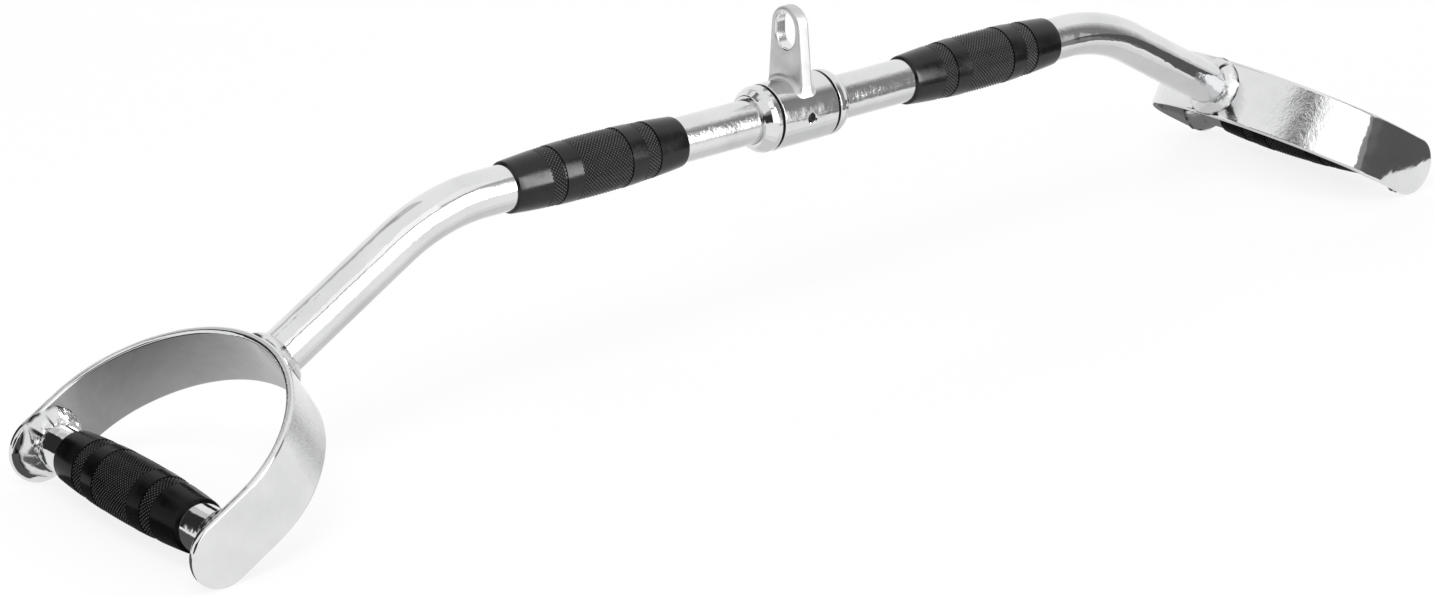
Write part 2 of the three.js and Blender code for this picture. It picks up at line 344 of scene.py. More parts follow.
# Shades big flat faces flat, beside the small faces of a rounded edge
def keepFlat(piece):
    weighted = piece.modifiers.new("flatFaces", "WEIGHTED_NORMAL")
    weighted.keep_sharp = True


def placeInScene(name, content):
    thing = bpy.data.objects.new(name, content)
    bpy.context.scene.collection.objects.link(thing)
    return thing


# An object of this name from a finished bmesh
def toObject(bm, name):
    mesh = bpy.data.meshes.new(name)
    bm.to_mesh(mesh)
    bm.free()
    return placeInScene(name, mesh)


# Turns a finished bmesh into a piece that stands for its CAD nodes
def addPiece(bm, name, material, body, replaced, place, sharpAngle=38):
    bmesh.ops.transform(bm, matrix=place, verts=bm.verts)
    bmesh.ops.recalc_face_normals(bm, faces=bm.faces[:])
    piece = toObject(bm, name)
    piece.data.materials.append(material)
    piece.data.shade_smooth()
    piece.data.set_sharp_from_angle(angle=math.radians(sharpAngle))
    keepFlat(piece)
    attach(piece, body)
    if replaced:
        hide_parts(*replaced)
    return piece


# Spins a closed outline of (along, radius) points round the X axis
def latheAlongX(outline, sides):
    bm = bmesh.new()
    corners = [bm.verts.new((along, 0, radius)) for along, radius in outline]
    edges = [bm.edges.new((corners[i - 1], corners[i])) for i in range(len(corners))]
    bmesh.ops.spin(bm, geom=corners + edges, cent=(0, 0, 0), axis=(1, 0, 0),
                   angle=2 * math.pi, steps=sides, use_merge=True)
    bmesh.ops.remove_doubles(bm, verts=bm.verts[:], dist=mergeGap)
    bmesh.ops.recalc_face_normals(bm, faces=bm.faces[:])
    return bm


# Rounds the edges that turn by more than the angle
def roundEdges(bm, width, segments, angle=30, wanted=None):
    sharp = []
    for edge in bm.edges:
        if len(edge.link_faces) == 2 and edge.calc_face_angle() > math.radians(angle):
            if wanted is None or wanted(edge):
                sharp.append(edge)
    bmesh.ops.bevel(bm, geom=sharp, offset=width, segments=segments, profile=0.5,
                    affect="EDGES", material=-1, clamp_overlap=True)


# Cuts with a plane and keeps both sides, for finer steps in what is bent afterwards
def cutAcross(bm, point, normal):
    bmesh.ops.bisect_plane(bm, geom=bm.verts[:] + bm.edges[:] + bm.faces[:], dist=mergeGap,
                           plane_co=point, plane_no=normal)


def mirrorHalf(bm, axis):
    bmesh.ops.mirror(bm, geom=bm.verts[:] + bm.edges[:] + bm.faces[:], axis=axis, merge_dist=matchGap)


def edgesOf(geometry):
    return [item for item in geometry if isinstance(item, bmesh.types.BMEdge)]


def vertsOf(geometry):
    return [item for item in geometry if isinstance(item, bmesh.types.BMVert)]


# Gives a flat outline its thickness, with the middle of it on the plane where it was drawn
def thicken(bm, offset):
    far = bmesh.ops.extrude_face_region(bm, geom=bm.faces[:], use_keep_orig=True)["geom"]
    bmesh.ops.translate(bm, verts=vertsOf(far), vec=offset)
    bmesh.ops.translate(bm, verts=bm.verts, vec=-offset / 2)
    bmesh.ops.recalc_face_normals(bm, faces=bm.faces[:])


# Cuts a closed shape out of a piece for good
def cutAway(piece, cutterMesh, sharpAngle):
    cutter = toObject(cutterMesh, "cutter")
    piece.modifiers.clear()
    cut = piece.modifiers.new("cut", "BOOLEAN")
    cut.operation = "DIFFERENCE"
    cut.solver = "EXACT"
    cut.object = cutter
    bpy.context.view_layer.update()
    result = bpy.data.meshes.new_from_object(piece.evaluated_get(bpy.context.evaluated_depsgraph_get()))
    piece.modifiers.clear()
    piece.data = result
    bpy.data.objects.remove(cutter)
    result.set_sharp_from_angle(angle=math.radians(sharpAngle))
    keepFlat(piece)


# The wall of a tube: two rings, drawn out straight and swept round bends
def startTube(place):
    bm = bmesh.new()
    for size in (bar["tubeRadius"], bar["tubeRadius"] - bar["tubeWall"]):
        bmesh.ops.create_circle(bm, segments=bar["sides"], radius=size, matrix=place)
    return bm, bm.verts[:] + bm.edges[:]


def drawOut(bm, rings, offset):
    made = bmesh.ops.extrude_edge_only(bm, edges=edgesOf(rings))["geom"]
    bmesh.ops.translate(bm, verts=vertsOf(made), vec=offset)
    return vertsOf(made) + edgesOf(made)


def endRings(bm, made):
    ends = set(vertsOf(made))
    return [edge for edge in bm.edges if edge.is_boundary and set(edge.verts) <= ends]


def makeMainBar():
    bm, rings = startTube(turnZToX)
    tangent = bar["bendRadius"] * math.tan(bar["armAngle"] / 2)
    bendStart = bar["bendCorner"] - tangent
    rings = drawOut(bm, rings, (bendStart, 0, 0))
    bend = bmesh.ops.spin(bm, geom=vertsOf(rings) + endRings(bm, rings), axis=(0, 1, 0),
                          cent=(bendStart, 0, -bar["bendRadius"]), angle=bar["armAngle"],
                          steps=bar["bendSteps"])["geom_last"]
    run = bar["armLength"] - bar["seatGap"] - tangent
    arm = Vector((math.cos(bar["armAngle"]), 0, -math.sin(bar["armAngle"]))) * run
    last = drawOut(bm, vertsOf(bend) + edgesOf(bend), arm)
    bmesh.ops.bridge_loops(bm, edges=endRings(bm, last))
    mirrorHalf(bm, "X")
    addPiece(bm, "mainBar", barChrome, "bar", ["main_bar"], barPlace)


makeMainBar()
print("main bar made")

# Rubber grips: a barrel with three knurled bands, whose diamonds are raised one by one
grip = {
    "length": 0.127,
    "middleRadius": 0.0186,
    "endRadius": 0.0156,
    "boreRadius": 0.01402,
    "leastWall": 0.001,
    "bandEnds": (0.0184, 0.0300, 0.0405),
    "bandCells": (8, 4, 4, 6),
    "cellsAround": 48,
    "knurlDepth": 0.0007,
    "diamondHeight": 0.00069,
    "step": 0.00022,
    "lip": 0.0012,
    "lipTurns": (0.35, 0.7, 0.9),  # shares of a quarter turn
    "sharpAngle": 25,
}


def barrelRadius(along):
    swell = grip["middleRadius"] - grip["endRadius"]
    return grip["endRadius"] + swell * (1 - (along / (grip["length"] / 2)) ** 2)


# From the middle to the end: start, end, whether it is knurled, and cells along it
def gripBands():
    inner, smooth, outer = grip["bandEnds"]
    step = grip["step"]
    end = grip["length"] / 2 - grip["lip"]
    spans = [(0, inner, True), (inner + step, smooth - step, False),
             (smooth, outer, True), (outer + step, end, False)]
    return [(*span, cells) for span, cells in zip(spans, grip["bandCells"])]


def gripOutline():
    halfLength = grip["length"] / 2
    lip = grip["lip"]
    endRadius = barrelRadius(halfLength)
    half = []
    for start, end, knurled, cells in gripBands():
        for cell in range(cells + 1):
            along = start + (end - start) * cell / cells
            half.append((along, barrelRadius(along) - (grip["knurlDepth"] if knurled else 0)))
    for turn in grip["lipTurns"]:
        angle = turn * math.pi / 2
        half.append((halfLength - lip * (1 - math.sin(angle)), endRadius - lip * (1 - math.cos(angle))))
    half.append((halfLength, endRadius - lip))
    half.append((halfLength, grip["boreRadius"]))
    return [(-along, radius) for along, radius in reversed(half[1:])] + half


def isKnurl(face):
    reach = [abs(vert.co.x) for vert in face.verts]
    least = min(Vector((0, vert.co.y, vert.co.z)).length for vert in face.verts)
    if least < grip["boreRadius"] + grip["leastWall"]:
        return False
    return any(knurled and start - matchGap <= min(reach) and max(reach) <= end + matchGap
               for start, end, knurled, cells in gripBands())


def makeGripMesh():
    bm = latheAlongX(gripOutline(), grip["cellsAround"])
    # The tips are painted lighter in the rubber, partly for wear and partly as a painted glint
    tips = bm.verts.layers.float.new("tips")  # 1 on the points of the diamonds, which hands wear
    cells = [face for face in bm.faces if isKnurl(face)]
    cellSet = set(cells)
    shared = [edge for edge in bm.edges if len(edge.link_faces) == 2 and set(edge.link_faces) <= cellSet]
    bmesh.ops.poke(bm, faces=cells)
    bmesh.ops.dissolve_edges(bm, edges=shared, use_verts=False)
    bmesh.ops.recalc_face_normals(bm, faces=bm.faces[:])
    diamonds = [face for face in bm.faces if len(face.verts) == 4 and isKnurl(face)]
    for vert in bmesh.ops.poke(bm, faces=diamonds, offset=grip["diamondHeight"], center_mode="MEAN")["verts"]:
        vert[tips] = 1
    return bm


gripLow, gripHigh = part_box("bar_grip_right")
gripCentre = (gripLow.x + gripHigh.x) / 2
crossbarDepth = 0.107


def crossbarPlace(sign):
    return handlePlace(sign) @ Matrix.Translation((crossbarDepth, 0, 0)) @ turnXToY


for side, sign in handSides:
    addPiece(makeGripMesh(), "barGrip." + side, rubber, "bar", ["bar_grip_" + side],
             barPlace @ Matrix.Translation((sign * gripCentre, 0, 0)), grip["sharpAngle"])
    addPiece(makeGripMesh(), "crossbarGrip." + side, crossbarShadedRubber, "bar",
             ["crossbar_grip_" + side], crossbarPlace(sign), grip["sharpAngle"])
print("grips made")

# Stirrups: a flat strip with round ends, its rims rounded, bent to a U
stirrup = {
    "width": 0.0405,
    "thickness": 0.005,
    "apexRadius": 0.100,
    "shoulderRadius": 0.074,
    "shoulderAngle": math.radians(60),
    "legLength": 0.113,
    "rimRadius": 0.0019,
    "rimSteps": 6,
    "endSides": 80,
    "bendStep": math.radians(2.5),
}
shoulderInset = stirrup["apexRadius"] - stirrup["shoulderRadius"]
shoulderDepth = stirrup["apexRadius"] - shoulderInset * math.cos(stirrup["shoulderAngle"])
shoulderOffset = shoulderInset * math.sin(stirrup["shoulderAngle"])
legOffset = shoulderOffset + stirrup["shoulderRadius"]
legInside = legOffset - stirrup["thickness"]
apexRun = stirrup["apexRadius"] * stirrup["shoulderAngle"]
shoulderTurn = math.pi / 2 - stirrup["shoulderAngle"]
shoulderRun = stirrup["shoulderRadius"] * shoulderTurn
legRun = stirrup["legLength"] - shoulderDepth


# The outer face's point and outward direction at a run from the apex
def alongStirrup(run):
    if run < apexRun:
        centre, radius, turn = (stirrup["apexRadius"], 0), stirrup["apexRadius"], run / stirrup["apexRadius"]
    else:
        centre, radius = (shoulderDepth, shoulderOffset), stirrup["shoulderRadius"]
        turn = stirrup["shoulderAngle"] + min(run - apexRun, shoulderRun) / radius
    beyond = max(run - apexRun - shoulderRun, 0)
    out = Vector((-math.cos(turn), math.sin(turn), 0))
    return Vector((centre[0] + beyond, centre[1], 0)) + out * radius, out


# Rounds both rims of a flat plate: the two faces step inwards and outwards along a quarter circle
def roundRims(bm, faces, radius, steps):
    for step in range(steps):
        start, end = (math.pi / 2 * part / steps for part in (step, step + 1))
        inwards = radius * (math.cos(start) - math.cos(end))
        outwards = radius * (math.sin(end) - math.sin(start))
        bmesh.ops.inset_region(bm, faces=faces, thickness=inwards, depth=outwards,
                               use_even_offset=True, use_boundary=True)


def makeStirrupMesh():
    bm = bmesh.new()
    straight = apexRun + shoulderRun + legRun
    halfSide = Matrix.Rotation(math.pi / stirrup["endSides"], 4, "Z")
    bmesh.ops.create_circle(bm, cap_ends=True, segments=stirrup["endSides"],
                            radius=stirrup["width"] / 2, matrix=halfSide)
    for sign in (-1, 1):
        end = [vert for vert in bm.verts if vert.co.x * sign > 0]
        bmesh.ops.translate(bm, verts=end, vec=(sign * straight, 0, 0))
    thicken(bm, Vector((0, 0, stirrup["thickness"] - 2 * stirrup["rimRadius"])))
    for sign in (-1, 1):
        flat = [face for face in bm.faces if face.normal.z * sign > 0.9]
        roundRims(bm, flat, stirrup["rimRadius"], stirrup["rimSteps"])
    arcs = [(0, stirrup["shoulderAngle"], stirrup["apexRadius"]),
            (apexRun, shoulderTurn, stirrup["shoulderRadius"])]
    for first, turn, radius in arcs:
        count = round(turn / stirrup["bendStep"])
        for step in range(count + 1):
            for sign in (-1, 1):
                cutAcross(bm, (sign * (first + radius * turn * step / count), 0, 0), (1, 0, 0))
    bmesh.ops.remove_doubles(bm, verts=bm.verts[:], dist=mergeGap)
    for vert in bm.verts:  # the bend itself
        run, across, height = vert.co
        point, out = alongStirrup(abs(run))
        place = point + out * (height - stirrup["thickness"] / 2)
        vert.co = Vector((place.x, place.y if run > 0 else -place.y, across))
    return bm


for side, sign in handSides:
    addPiece(makeStirrupMesh(), "stirrup." + side, stripChrome, "bar",
             ["stirrup_" + side], handlePlace(sign))
print("stirrups made")


def makeCrossbar(side, sign):
    reach = legInside - bar["seatGap"]
    bm, rings = startTube(Matrix.Translation((-reach, 0, 0)) @ turnZToX)
    first = edgesOf(rings)
    last = drawOut(bm, rings, (2 * reach, 0, 0))
    bmesh.ops.bridge_loops(bm, edges=first)
    bmesh.ops.bridge_loops(bm, edges=endRings(bm, last))
    addPiece(bm, "crossbar." + side, chrome, "bar", ["crossbar_" + side], crossbarPlace(sign))


for side, sign in handSides:
    makeCrossbar(side, sign)
print("crossbars made")

# Weld beads: a fillet round the tube whose foot wanders and whose back has ripples and lumps. The last three
# values of a bead say how far and how high
weld = {
    "arm": {
        "reach": 0.0062,
        "height": 0.0064,
        "ripples": 22,
        "wander": 0.0006,
        "ripple": 0.00004,
        "lump": 0.0001,
    },
    "crossbar": {
        "reach": 0.0068,
        "height": 0.0092,
        "ripples": 11,
        "wander": 0.0016,
        "ripple": 0.00006,
        "lump": 0.0011,
    },
    "sides": 220,
    "profileSteps": 14,
    "sink": 0.0003,
    "bulge": 0.14,
    "seamFrom": 0.84,
    "seamGain": 2,
    "seamLevel": 0.6,  # of the seam, which a cloud of noise breaks up by up to seamSpread
    "seamSpread": 1.3,
    "wanderFine": 0.3,
    "rippleDrift": 9,
    "rippleLean": 2.2,
    "rippleLevel": 0.7,
    "swellBack": 0.8,
    "topWander": 1.3,
    "topUpTo": 0.2,  # share of the reach within which the top edge wanders
    "sharpAngle": 60,
    "seeds": {
        "left": {"arm": 3.7, "front": 10, "back": 16},
        "right": {"arm": 11.3, "front": 24, "back": 30},
    },
}
# How dense the noise is that each of them comes from, and how far it is moved to differ from the others
weldNoise = {
    "scale": 2.2,
    "seamScale": 2.3,
    "seamMove": Vector((0, 6, 0)),
    "fineScale": 3.1,
    "driftScale": 1.7,
    "levelScale": 1.1,
    "levelMove": Vector((3, 0, 0)),
    "lumpScale": 2.1,
    "lumpMove": 5,
    "lumpLift": 1.2,
    "topScale": 1.3,
    "topMove": Vector((9, 0, 0)),
}


def makeWeldMesh(kind, seed, footDepth):
    size = weld[kind]
    reach = size["reach"]
    height = size["height"]
    radius = bar["tubeRadius"]
    outline = []
    for step in range(weld["profileSteps"] + 1):
        share = step / weld["profileSteps"]
        swell = weld["bulge"] * math.sin(math.pi * share) / 2
        outline.append((-height * (1 - share + swell), radius + reach * (share + swell)))
    outline.append((weld["sink"], radius + reach))
    outline.append((weld["sink"], radius - weld["sink"]))
    outline.append((-height, radius - weld["sink"]))
    bm = latheAlongX(outline, weld["sides"])
    toe = bm.verts.layers.float.new("toe")  # up to 1 at the foot, where the seam is
    for vert in bm.verts:
        around = Vector((0, vert.co.y, vert.co.z))
        out = around.normalized()
        angle = math.atan2(vert.co.z, vert.co.y)
        lift = max(0, min(1, -vert.co.x / height))  # 0 at the foot, 1 on the tube
        share = max(0, (around.length - radius) / reach)
        if share <= 0.01 and lift < 0.99:  # the hidden inside
            continue
        place = out * weldNoise["scale"] + Vector((seed, 0, 0))
        broken = noise.noise(place * weldNoise["seamScale"] + weldNoise["seamMove"])
        seam = (share - weld["seamFrom"]) / (1 - weld["seamFrom"]) * weld["seamGain"]
        vert[toe] = max(0, min(1, seam * (weld["seamLevel"] + weld["seamSpread"] * broken)))
        wander = noise.noise(place) + noise.noise(place * weldNoise["fineScale"]) * weld["wanderFine"]
        drift = weld["rippleDrift"] * noise.noise(place * weldNoise["driftScale"])
        phase = size["ripples"] * angle + drift + weld["rippleLean"] * share
        middle = math.sin(math.pi * min(1, share * 0.9 + 0.05))  # little at both ends of the section
        level = weld["rippleLevel"] + noise.noise(place * weldNoise["levelScale"] + weldNoise["levelMove"])
        lumpPlace = Vector((seed + weldNoise["lumpMove"], lift * weldNoise["lumpLift"], 0))
        lump = noise.noise(out * weldNoise["lumpScale"] + lumpPlace) * size["lump"]
        swell = (math.sin(phase) * size["ripple"] * level + lump) * middle
        vert.co += out * (wander * size["wander"] * share + swell)
        vert.co.x -= swell * weld["swellBack"]
        if share < weld["topUpTo"]:
            top = noise.noise(place * weldNoise["topScale"] + weldNoise["topMove"])
            vert.co.x -= top * size["wander"] * weld["topWander"] * lift
    for vert in bm.verts:
        vert.co.x += footDepth(vert.co.y)
    return bm


def apexRecess(across):
    return stirrup["apexRadius"] - math.sqrt(stirrup["apexRadius"] ** 2 - across ** 2)


def flatFoot(across):
    return 0


for side, sign in handSides:
    seeds = weld["seeds"][side]
    addPiece(makeWeldMesh("arm", seeds["arm"], apexRecess), "armWeld." + side, weldChrome, "bar",
             ["arm_weld_" + side], handlePlace(sign), weld["sharpAngle"])
    for end, way in (("front", -1), ("back", 1)):
        legFace = Matrix.Translation((crossbarDepth, way * legInside, 0))
        place = handlePlace(sign) @ legFace @ Matrix.Rotation(way * math.pi / 2, 4, "Z")
        addPiece(makeWeldMesh("crossbar", seeds[end], flatFoot), f"crossbarWeld.{side}.{end}", weldChrome,
                 "bar", [f"crossbar_weld_{side}_{end}"], place, weld["sharpAngle"])
print("welds made")

# The hanger: sleeve, tab and the fillet between them, with a collar and a washer on each side
hanger = {
    "sleeveRadius": 0.021,
    "sleeveLength": 0.043,
    "sleeveBore": 0.0172,
    "sleeveRim": 0.0006,
    "rimSteps": 3,
    "holeRadius": 0.003,
    "holeChamfer": 0.0009,
    "holeStart": 0.012,  # of the drill, from the bar's axis like the grease's start and top
    "holeBeyond": 0.004,
    "holeSides": 48,
    "holeSharp": 30,
    "greaseStart": 0.0175,
    "greaseTop": 0.0188,
    "greaseRim": 0.0004,
    "greaseGap": 0.0001,
    "greaseFlat": 0.6,  # share of the radius that the top's middle takes up
    "greaseSides": 32,
    "sides": 128,
}
collar = {
    "start": 0.0235,
    "rimLength": 0.0036,
    "shoulderLength": 0.003,
    "coneLength": 0.004,
    "rimRadius": 0.0208,
    "shoulderRadius": 0.0196,
    "noseRadius": 0.0163,
    "bore": 0.01402,
    "edge": 0.0005,
    "edgeSteps": 3,
    "edgeAngle": 12,
}
washer = {
    "start": 0.0218,
    "end": 0.0232,
    "radius": 0.0195,
    "bore": 0.0143,
    "edge": 0.0002,
    "edgeSteps": 2,
}


# A ring of a plain rectangular section
def latheRing(start, end, bore, radius):
    return latheAlongX([(start, bore), (start, radius), (end, radius), (end, bore)], hanger["sides"])


def makeCollarAndWasher(side, sign):
    place = barPlace @ Matrix.Rotation(0 if sign > 0 else math.pi, 4, "Z")
    shoulder = collar["start"] + collar["rimLength"]
    cone = shoulder + collar["shoulderLength"]
    nose = cone + collar["coneLength"]
    bm = latheAlongX([
        (collar["start"], collar["bore"]),
        (collar["start"], collar["rimRadius"]),
        (shoulder, collar["rimRadius"]),
        (cone, collar["shoulderRadius"]),
        (nose, collar["noseRadius"]),
        (nose, collar["bore"]),
    ], hanger["sides"])
    roundEdges(bm, collar["edge"], collar["edgeSteps"], collar["edgeAngle"])
    addPiece(bm, "collar." + side, chrome, "bar", ["collar_" + side], place)
    bm = latheRing(washer["start"], washer["end"], washer["bore"], washer["radius"])
    roundEdges(bm, washer["edge"], washer["edgeSteps"])
    addPiece(bm, "washer." + side, nylon, "bar", ["washer_" + side], place)


def makeSleeve():
    end = hanger["sleeveLength"] / 2
    bm = latheRing(-end, end, hanger["sleeveBore"], hanger["sleeveRadius"])
    roundEdges(bm, hanger["sleeveRim"], hanger["rimSteps"])
    piece = addPiece(bm, "hangerSleeve", sleeveChrome, "hanger", ["hanger_sleeve"], barPlace)
    radius = hanger["holeRadius"]
    beyond = hanger["holeBeyond"]
    drill = latheAlongX([
        (hanger["holeStart"], 0),
        (hanger["holeStart"], radius),
        (hanger["sleeveRadius"] - hanger["holeChamfer"], radius),
        (hanger["sleeveRadius"] + beyond, radius + hanger["holeChamfer"] + beyond),
        (hanger["sleeveRadius"] + beyond, 0),
    ], hanger["holeSides"])
    bmesh.ops.transform(drill, matrix=barPlace @ turnXToFront, verts=drill.verts)
    cutAway(piece, drill, hanger["holeSharp"])
    fill = latheAlongX([
        (hanger["greaseStart"], 0),
        (hanger["greaseStart"], radius - hanger["greaseGap"]),
        (hanger["greaseTop"] - hanger["greaseRim"], radius - hanger["greaseGap"]),
        (hanger["greaseTop"], radius * hanger["greaseFlat"]),
        (hanger["greaseTop"] + hanger["greaseGap"], 0),
    ], hanger["greaseSides"])
    addPiece(fill, "hangerGrease", grease, "hanger", [], barPlace @ turnXToFront)


tab = {
    "height": 0.0668,
    "thickness": 0.0088,
    "baseWidth": 0.035,
    "topRadius": 0.0128,
    "eyeHeight": 0.0518,
    "eyeWidth": 0.017,
    "eyeTall": 0.0224,
    "rimRadius": 0.0017,
    "rimSteps": 5,
    "rimAngle": 60,
    "footRadius": 0.0206,  # of the sleeve's curve at its foot, a little inside the sleeve
    "footSharp": 50,
    "arcSteps": 20,
    "halvings": 40,
}


# Draws a chain of edges by spinning its last point round a centre in the YZ plane
def spinPoint(bm, vert, centre, turn):
    chain = bmesh.ops.spin(bm, geom=[vert], cent=(0, *centre), axis=(1, 0, 0), angle=turn,
                           steps=tab["arcSteps"])["geom_last"]
    return vertsOf(chain)[0]


# Half the tab's width at a height over the bar's axis, on its straight sides, and how much they lean
def tabHalfWidth(height):
    base = tab["baseWidth"] / 2
    topCentre = tab["height"] - tab["topRadius"]
    lean = math.acos(tab["topRadius"] / math.hypot(topCentre, base)) - math.atan2(topCentre, base)
    return base - height * math.tan(lean), lean


# Where the straight side meets a circle round the bar
def footCorner(radius):
    low, high = 0, radius
    for _ in range(tab["halvings"]):
        height = (low + high) / 2
        if math.hypot(height, tabHalfWidth(height)[0]) < radius:
            low = height
        else:
            high = height
    return Vector((0, tabHalfWidth(low)[0], low))


def isOnFace(edge):
    return abs(edge.verts[0].co.x - edge.verts[1].co.x) < matchGap


# One half is drawn from the middle of the top clockwise, and then mirrored
def makeTab():
    bm = bmesh.new()
    topCentre = tab["height"] - tab["topRadius"]
    lean = tabHalfWidth(0)[1]
    rise = (tab["eyeTall"] - tab["eyeWidth"]) / 2
    quarter = math.pi / 2
    topMiddle = bm.verts.new((0, 0, tab["height"]))
    topSide = spinPoint(bm, topMiddle, (0, topCentre), lean - quarter)
    baseSide = bm.verts.new((0, tab["baseWidth"] / 2, 0))
    baseMiddle = bm.verts.new((0, 0, 0))
    eyeLow = bm.verts.new((0, 0, tab["eyeHeight"] - tab["eyeTall"] / 2))
    eyeLowSide = spinPoint(bm, eyeLow, (0, tab["eyeHeight"] - rise), quarter)
    eyeHighSide = bm.verts.new((0, tab["eyeWidth"] / 2, tab["eyeHeight"] + rise))
    eyeHigh = spinPoint(bm, eyeHighSide, (0, tab["eyeHeight"] + rise), quarter)
    for pair in ((topSide, baseSide), (baseSide, baseMiddle), (baseMiddle, eyeLow),
                 (eyeLowSide, eyeHighSide), (eyeHigh, topMiddle)):
        bm.edges.new(pair)
    bmesh.ops.contextual_create(bm, geom=bm.edges[:])
    mirrorHalf(bm, "Y")
    thicken(bm, Vector((tab["thickness"], 0, 0)))
    roundEdges(bm, tab["rimRadius"], tab["rimSteps"], tab["rimAngle"], isOnFace)
    piece = addPiece(bm, "hangerTab", satinSteel, "hanger", ["hanger_tab"], barPlace)
    reach = tab["thickness"]
    foot = tab["footRadius"]
    shaft = latheAlongX([(-reach, 0), (-reach, foot), (reach, foot), (reach, 0)], hanger["sides"])
    bmesh.ops.transform(shaft, matrix=barPlace, verts=shaft.verts)
    cutAway(piece, shaft, tab["footSharp"])


fillet = {
    "leg": 0.0036,
    "endShare": 0.3,  # of the leg at the tab's narrow ends
    "inside": 0.0015,  # how far it reaches into the tab
    "under": 0.0005,  # and into the sleeve
    "sides": 64,
    "steps": 8,
    "cutEvery": 0.0014,
    "cutsEachWay": 11,
    "sharpAngle": 70,
}


# The fillet's section: its distance out from the tab and its rise over the sleeve, at each ring
def filletRings():
    leg = fillet["leg"]
    rings = []
    for step in range(fillet["steps"] + 1):
        turn = math.pi / 2 * step / fillet["steps"]
        rings.append((leg * (1 - math.cos(turn)), leg * (1 - math.sin(turn))))
    return rings + [(leg, -fillet["under"]), (-fillet["inside"], -fillet["under"]), (-fillet["inside"], leg)]


# The fillet runs round the tab's foot in rings, drawn flat and then rolled onto the sleeve
def makeTabWeld():
    bm = bmesh.new()
    bmesh.ops.create_circle(bm, segments=fillet["sides"], radius=1)
    ways = {}
    for vert in bm.verts:
        angle = math.atan2(vert.co.y, vert.co.x)
        ways[vert] = Vector((math.cos(angle), math.sin(angle)))
    first = bm.edges[:]
    edges = first
    loops = [bm.verts[:]]
    rings = filletRings()
    for _ in rings[1:]:
        made = bmesh.ops.extrude_edge_only(bm, edges=edges)["geom"]
        fresh = vertsOf(made)
        inner = set(loops[-1])
        for vert in fresh:
            source = next(edge.other_vert(vert) for edge in vert.link_edges if edge.other_vert(vert) in inner)
            ways[vert] = ways[source]
        loops.append(fresh)
        edges = [edge for edge in edgesOf(made) if set(edge.verts) <= set(fresh)]
    bmesh.ops.bridge_loops(bm, edges=first + edges)
    for loop, (out, rise) in zip(loops, rings):
        corner = footCorner(hanger["sleeveRadius"] + max(rise, 0))
        halfArc = math.atan2(corner.y, corner.z) * hanger["sleeveRadius"] + out * fillet["endShare"]
        halfThick = tab["thickness"] / 2 + out
        rim = tab["rimRadius"] + out
        for vert in loop:
            way = ways[vert]
            vert.co.x = rim * way.x + math.copysign(halfThick - rim, way.x)
            vert.co.y = rim * way.y + math.copysign(halfArc - rim, way.y)
            vert.co.z = rise
    for cut in range(-fillet["cutsEachWay"], fillet["cutsEachWay"] + 1):
        cutAcross(bm, (0, cut * fillet["cutEvery"], 0), (0, 1, 0))
    for vert in bm.verts:  # rolled onto the sleeve
        radius = hanger["sleeveRadius"] + vert.co.z
        angle = vert.co.y / hanger["sleeveRadius"]
        vert.co = Vector((vert.co.x, radius * math.sin(angle), radius * math.cos(angle)))
    bmesh.ops.remove_doubles(bm, verts=bm.verts[:], dist=mergeGap)
    addPiece(bm, "hangerTabWeld", satinSteel, "hanger", ["hanger_tab_weld"], barPlace,
             fillet["sharpAngle"])


makeSleeve()
makeTab()
makeTabWeld()
for side, sign in handSides:
    makeCollarAndWasher(side, sign)
    nodes["bush_" + side].data.materials.clear()
    nodes["bush_" + side].data.materials.append(bronze)
print("hanger made")

# Floor and light
studio = {
    "floorSize": 40,
    "floorColour": (0.96, 0.96, 0.96),
    "floorRough": 0.9,
    "floorSeen": 1.0,
    "shadowShare": 0.16,
    "worldStrength": 1.0,
    "fillStrength": 0.75,
}


# 1 for what the camera sees, also in a reflection or through glass, and 0 for light on plain surfaces
def addSeen(tree):
    rays = addNode(tree, "ShaderNodeLightPath").outputs
    seen = addMath(tree, "MAXIMUM", rays["Is Camera Ray"], rays["Is Glossy Ray"])
    return addMath(tree, "MAXIMUM", seen, rays["Is Transmission Ray"])


def addGlow(tree, level):
    glow = addNode(tree, "ShaderNodeEmission")
    feed(tree, glow.inputs["Strength"], level)
    return glow.outputs[0]


# White for the camera and for reflections, and a plain surface with its shadow underneath
def makeFloor():
    bm = bmesh.new()
    bmesh.ops.create_grid(bm, x_segments=1, y_segments=1, size=studio["floorSize"] / 2)
    floor = toObject(bm, "floor")
    material, tree, shader = newMaterial("floor")
    shader.inputs["Base Color"].default_value = (*studio["floorColour"], 1)
    shader.inputs["Roughness"].default_value = studio["floorRough"]
    shader.inputs["Specular IOR Level"].default_value = 0
    mix = addNode(tree, "ShaderNodeMixShader")
    feed(tree, mix.inputs[0], addMath(tree, "MULTIPLY", addSeen(tree), 1 - studio["shadowShare"]))
    feed(tree, mix.inputs[1], shader.outputs[0])
    feed(tree, mix.inputs[2], addGlow(tree, studio["floorSeen"]))
    feed(tree, tree.nodes["Material Output"].inputs["Surface"], mix.outputs[0])
    floor.data.materials.append(material)


def makeWorld():
    world = bpy.data.worlds.new("studio")
    bpy.context.scene.world = world
    world.use_nodes = True
    tree = world.node_tree
    backdrop = tree.nodes["Background"]
    backdrop.inputs["Color"].default_value = (1, 1, 1, 1)
    level = addRange(tree, addSeen(tree), 0, 1, studio["fillStrength"], studio["worldStrength"])
    feed(tree, backdrop.inputs["Strength"], level)


